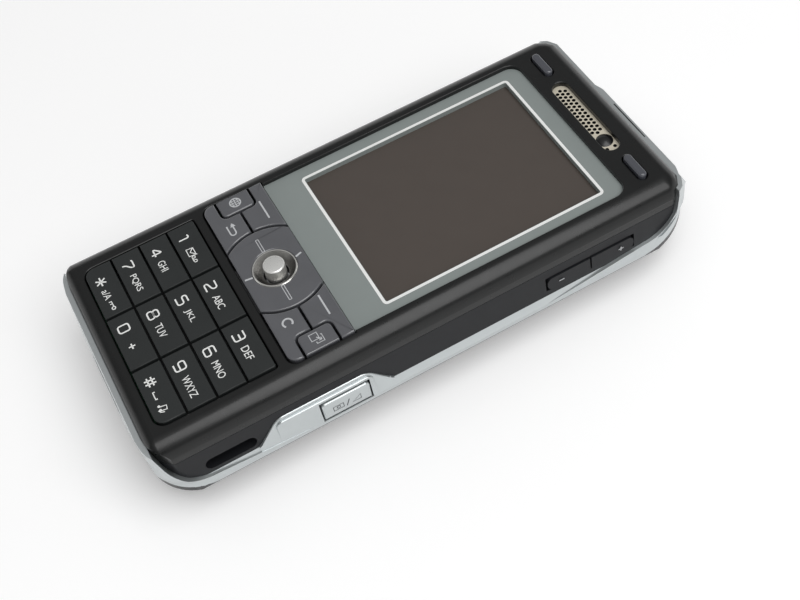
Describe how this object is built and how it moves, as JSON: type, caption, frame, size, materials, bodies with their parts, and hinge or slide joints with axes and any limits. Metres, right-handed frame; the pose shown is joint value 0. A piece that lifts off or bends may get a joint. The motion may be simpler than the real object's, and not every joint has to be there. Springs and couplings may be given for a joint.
{
  "type": "candybar camera phone",
  "caption": "Bar-shaped keypad phone with a recessed display, thumb joystick, pressable keys, side volume rocker and camera key, sliding lens cover and removable back.",
  "frame": {"origin": "centre of the back, on the plane that the phone lies on", "axes": "+Z out of the front face, +Y to the earpiece end, +X to the side with the volume rocker and the camera key"},
  "size_m": [0.047, 0.106, 0.022],
  "materials": {
    "case_black": "satin black lacquer",
    "frame_black": "fine matt bluish black",
    "rear_black": "fine matt black",
    "silver": "silver paint",
    "window_grey": "printed grey behind clear acrylic",
    "screen": "unlit display",
    "sheet_steel": "stamped sheet",
    "board": "green solder mask",
    "dome_film": "film over metal domes",
    "key_black": "satin black",
    "key_grey": "satin dark grey",
    "chrome_ring": "bright",
    "satin_silver": "satin silver paint",
    "gloss_dark": "dark gloss",
    "champagne_mesh": "perforated sheet",
    "module_black": "moulded",
    "lens_glass": "dark coated glass",
    "flash_clear": "clear",
    "flash_silver": "bright reflector",
    "mic_can": "pressed can",
    "weight": "sintered metal",
    "battery_pack": "wrapped can",
    "gold": "plated",
    "card_white": "card"
  },
  "bodies": {
    "case": {"front_cover": "case_black", "mid_frame": "frame_black", "rear_cover": "rear_black", "rim": "silver", "display_window": "window_grey", "display_panel": "screen", "display_frame": "sheet_steel", "joystick_base": "sheet_steel", "vibra_motor": "sheet_steel", "screws": "sheet_steel", "main_board": "board", "dome_sheet": "dome_film", "nav_plate": "key_grey", "joystick_ring": "chrome_ring", "earpiece_mesh": "champagne_mesh", "earpiece_speaker": "module_black", "loudspeaker": "module_black", "camera_module": "module_black", "system_connector": "module_black", "memory_card": "module_black", "video_camera": "lens_glass", "camera_window": "lens_glass", "flash_window": "flash_clear", "flash_unit": "flash_silver", "microphone": "mic_can", "battery": "battery_pack", "battery_contacts": "gold", "aerial": "gold", "sim_card": "card_white"},
    "key_1": {"key_1": "key_black"},
    "key_2": {"key_2": "key_black"},
    "key_3": {"key_3": "key_black"},
    "key_4": {"key_4": "key_black"},
    "key_5": {"key_5": "key_black"},
    "key_6": {"key_6": "key_black"},
    "key_7": {"key_7": "key_black"},
    "key_8": {"key_8": "key_black"},
    "key_9": {"key_9": "key_black"},
    "key_star": {"key_star": "key_black"},
    "key_0": {"key_0": "key_black"},
    "key_hash": {"key_hash": "key_black"},
    "soft_key_left": {"soft_key_left": "key_grey"},
    "soft_key_right": {"soft_key_right": "key_grey"},
    "back_key": {"back_key": "key_grey"},
    "clear_key": {"clear_key": "key_grey"},
    "web_key": {"web_key": "key_grey"},
    "task_key": {"task_key": "key_grey"},
    "game_key_left": {"game_key_left": "gloss_dark"},
    "game_key_right": {"game_key_right": "gloss_dark"},
    "joystick_gimbal": {"joystick_gimbal": "sheet_steel"},
    "joystick_cradle": {"joystick_cradle": "sheet_steel"},
    "joystick_stick": {"joystick_stick": "satin_silver"},
    "volume_rocker": {"volume_rocker": "gloss_dark"},
    "shutter_key": {"shutter_key": "silver"},
    "power_key": {"power_key": "gloss_dark"},
    "lens_cover": {"lens_cover": "rear_black"},
    "battery_cover": {"battery_cover": "rear_black"},
    "memory_flap": {"memory_flap": "frame_black"},
    "vibra_weight": {"vibra_weight": "weight"},
    "lens_barrel": {"lens_barrel": "module_black"}
  },
  "joints": [
    {"name": "key_1_press", "type": "slide", "parent": "case", "child": "key_1", "axis": [0, 0, -1], "range_m": [0, 0.00035], "stiffness_N_per_m": 1500, "springref_m": -0.0002},
    {"name": "key_2_press", "type": "slide", "parent": "case", "child": "key_2", "axis": [0, 0, -1], "range_m": [0, 0.00035], "stiffness_N_per_m": 1500, "springref_m": -0.0002},
    {"name": "key_3_press", "type": "slide", "parent": "case", "child": "key_3", "axis": [0, 0, -1], "range_m": [0, 0.00035], "stiffness_N_per_m": 1500, "springref_m": -0.0002},
    {"name": "key_4_press", "type": "slide", "parent": "case", "child": "key_4", "axis": [0, 0, -1], "range_m": [0, 0.00035], "stiffness_N_per_m": 1500, "springref_m": -0.0002},
    {"name": "key_5_press", "type": "slide", "parent": "case", "child": "key_5", "axis": [0, 0, -1], "range_m": [0, 0.00035], "stiffness_N_per_m": 1500, "springref_m": -0.0002},
    {"name": "key_6_press", "type": "slide", "parent": "case", "child": "key_6", "axis": [0, 0, -1], "range_m": [0, 0.00035], "stiffness_N_per_m": 1500, "springref_m": -0.0002},
    {"name": "key_7_press", "type": "slide", "parent": "case", "child": "key_7", "axis": [0, 0, -1], "range_m": [0, 0.00035], "stiffness_N_per_m": 1500, "springref_m": -0.0002},
    {"name": "key_8_press", "type": "slide", "parent": "case", "child": "key_8", "axis": [0, 0, -1], "range_m": [0, 0.00035], "stiffness_N_per_m": 1500, "springref_m": -0.0002},
    {"name": "key_9_press", "type": "slide", "parent": "case", "child": "key_9", "axis": [0, 0, -1], "range_m": [0, 0.00035], "stiffness_N_per_m": 1500, "springref_m": -0.0002},
    {"name": "key_star_press", "type": "slide", "parent": "case", "child": "key_star", "axis": [0, 0, -1], "range_m": [0, 0.00035], "stiffness_N_per_m": 1500, "springref_m": -0.0002},
    {"name": "key_0_press", "type": "slide", "parent": "case", "child": "key_0", "axis": [0, 0, -1], "range_m": [0, 0.00035], "stiffness_N_per_m": 1500, "springref_m": -0.0002},
    {"name": "key_hash_press", "type": "slide", "parent": "case", "child": "key_hash", "axis": [0, 0, -1], "range_m": [0, 0.00035], "stiffness_N_per_m": 1500, "springref_m": -0.0002},
    {"name": "soft_key_left_press", "type": "slide", "parent": "case", "child": "soft_key_left", "axis": [0, 0, -1], "range_m": [0, 0.00035], "stiffness_N_per_m": 1500, "springref_m": -0.0002},
    {"name": "soft_key_right_press", "type": "slide", "parent": "case", "child": "soft_key_right", "axis": [0, 0, -1], "range_m": [0, 0.00035], "stiffness_N_per_m": 1500, "springref_m": -0.0002},
    {"name": "back_key_press", "type": "slide", "parent": "case", "child": "back_key", "axis": [0, 0, -1], "range_m": [0, 0.00035], "stiffness_N_per_m": 1500, "springref_m": -0.0002},
    {"name": "clear_key_press", "type": "slide", "parent": "case", "child": "clear_key", "axis": [0, 0, -1], "range_m": [0, 0.00035], "stiffness_N_per_m": 1500, "springref_m": -0.0002},
    {"name": "web_key_press", "type": "slide", "parent": "case", "child": "web_key", "axis": [0, 0, -1], "range_m": [0, 0.00035], "stiffness_N_per_m": 1500, "springref_m": -0.0002},
    {"name": "task_key_press", "type": "slide", "parent": "case", "child": "task_key", "axis": [0, 0, -1], "range_m": [0, 0.00035], "stiffness_N_per_m": 1500, "springref_m": -0.0002},
    {"name": "game_key_left_press", "type": "slide", "parent": "case", "child": "game_key_left", "axis": [0, 0, -1], "range_m": [0, 0.00035], "stiffness_N_per_m": 1500, "springref_m": -0.0002},
    {"name": "game_key_right_press", "type": "slide", "parent": "case", "child": "game_key_right", "axis": [0, 0, -1], "range_m": [0, 0.00035], "stiffness_N_per_m": 1500, "springref_m": -0.0002},
    {"name": "joystick_up_down", "type": "hinge", "parent": "case", "child": "joystick_gimbal", "pos_m": [0, -0.0198, 0.0176], "axis": [1, 0, 0], "range_deg": [-6, 6], "stiffness_Nm_per_rad": 0.03},
    {"name": "joystick_left_right", "type": "hinge", "parent": "joystick_gimbal", "child": "joystick_cradle", "pos_m": [0, -0.0198, 0.0176], "axis": [0, 1, 0], "range_deg": [-6, 6], "stiffness_Nm_per_rad": 0.03},
    {"name": "joystick_press", "type": "slide", "parent": "joystick_cradle", "child": "joystick_stick", "axis": [0, 0, -1], "range_m": [0, 0.0003], "stiffness_N_per_m": 1500, "springref_m": -0.0002},
    {"name": "volume_rock", "type": "hinge", "parent": "case", "child": "volume_rocker", "pos_m": [0.0215, 0.027, 0.01305], "axis": [0, 0, 1], "range_deg": [-1.5, 1.5], "stiffness_Nm_per_rad": 0.3},
    {"name": "shutter_press", "type": "slide", "parent": "case", "child": "shutter_key", "axis": [-1, 0, 0], "range_m": [0, 0.0005], "stiffness_N_per_m": 1500, "springref_m": -0.0002},
    {"name": "power_press", "type": "slide", "parent": "case", "child": "power_key", "axis": [0, -1, 0], "range_m": [0, 0.0004], "stiffness_N_per_m": 1500, "springref_m": -0.0002},
    {"name": "lens_cover_slide", "type": "slide", "parent": "case", "child": "lens_cover", "axis": [0, -1, 0], "range_m": [0, 0.012]},
    {"name": "battery_cover_slide", "type": "slide", "parent": "case", "child": "battery_cover", "axis": [0, -1, 0], "range_m": [0, 0.012]},
    {"name": "memory_flap_swing", "type": "hinge", "parent": "case", "child": "memory_flap", "pos_m": [-0.02195, -0.022, 0.012], "axis": [0, -1, 0], "range_deg": [0, 90]},
    {"name": "vibra_spin", "type": "hinge", "parent": "case", "child": "vibra_weight", "pos_m": [-0.013, -0.0427, 0.013], "axis": [0, 1, 0], "continuous": true},
    {"name": "lens_focus", "type": "slide", "parent": "case", "child": "lens_barrel", "axis": [0, 0, 1], "range_m": [0, 0.0003]}
  ]
}
